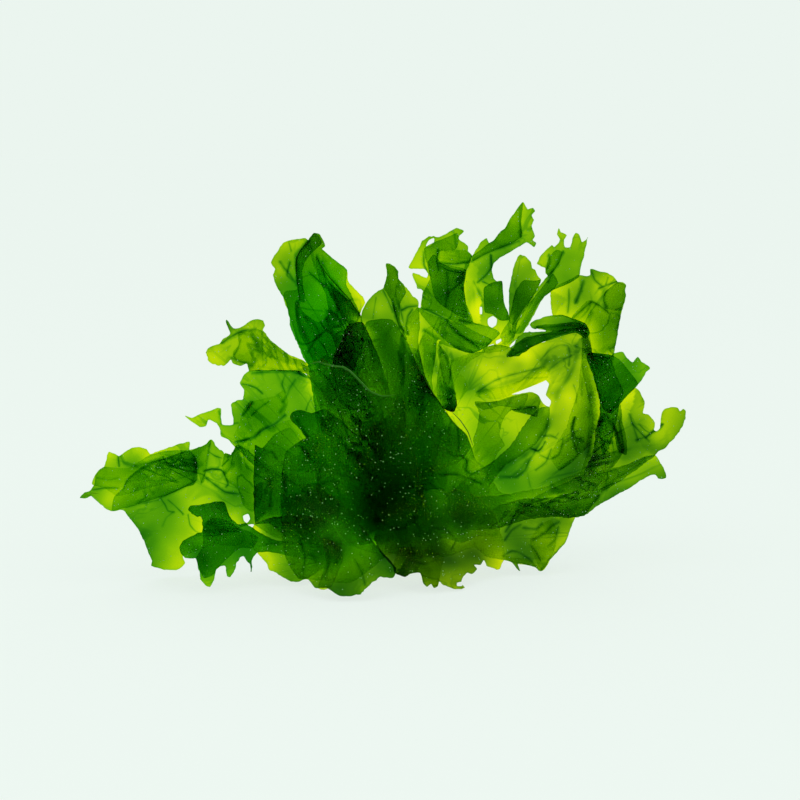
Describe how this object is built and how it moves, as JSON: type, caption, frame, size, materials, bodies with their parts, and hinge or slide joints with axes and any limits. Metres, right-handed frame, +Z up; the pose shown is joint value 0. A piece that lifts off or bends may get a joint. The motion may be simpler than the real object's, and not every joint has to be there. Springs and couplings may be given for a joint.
{
  "type": "sea lettuce",
  "caption": "Loose clump of sea lettuce, fresh green see-through blades with ruffled, torn margins fanning out from a dark heart.",
  "frame": {"origin": "bottom centre of the clump's bounding box, on the surface that it rests on", "axes": "+X to the viewer's right along the clump's length, +Y away from the viewer, +Z up"},
  "size_m": [0.176, 0.082, 0.1118],
  "materials": {
    "yellow_green_blade": "wet, thin and see-through, yellow-green, with dark fold lines and fine specks",
    "deep_green_blade": "wet, see-through, deeper green, with fine pale specks"
  },
  "bodies": {
    "root": {"front_bottom_blade": "yellow_green_blade", "fringe_blade": "yellow_green_blade", "lower_right_band": "yellow_green_blade", "lower_right_blade": "yellow_green_blade", "dark_right_lobe": "deep_green_blade", "right_lobe_blade": "yellow_green_blade", "star_blade": "deep_green_blade", "bottom_left_strip": "yellow_green_blade", "pocket_blade": "deep_green_blade", "olive_blade": "deep_green_blade", "square_blade": "deep_green_blade", "small_pocket_blade": "deep_green_blade", "crown_blade": "deep_green_blade", "strand_blade": "yellow_green_blade", "small_right_leaf": "yellow_green_blade", "pointed_blade": "yellow_green_blade", "tall_blade": "yellow_green_blade", "left_sheet_blade": "yellow_green_blade", "upper_left_blade": "yellow_green_blade", "left_blade": "yellow_green_blade", "curled_blade": "yellow_green_blade", "vertical_leaf": "yellow_green_blade", "upper_middle_blade": "yellow_green_blade", "narrow_blade": "yellow_green_blade", "dark_fold_blade": "deep_green_blade", "big_right_blade": "yellow_green_blade", "upper_right_frond": "yellow_green_blade", "right_top_blade": "yellow_green_blade", "back_left_blade": "deep_green_blade", "back_middle_blade": "deep_green_blade", "back_right_blade": "deep_green_blade"}
  },
  "joints": []
}
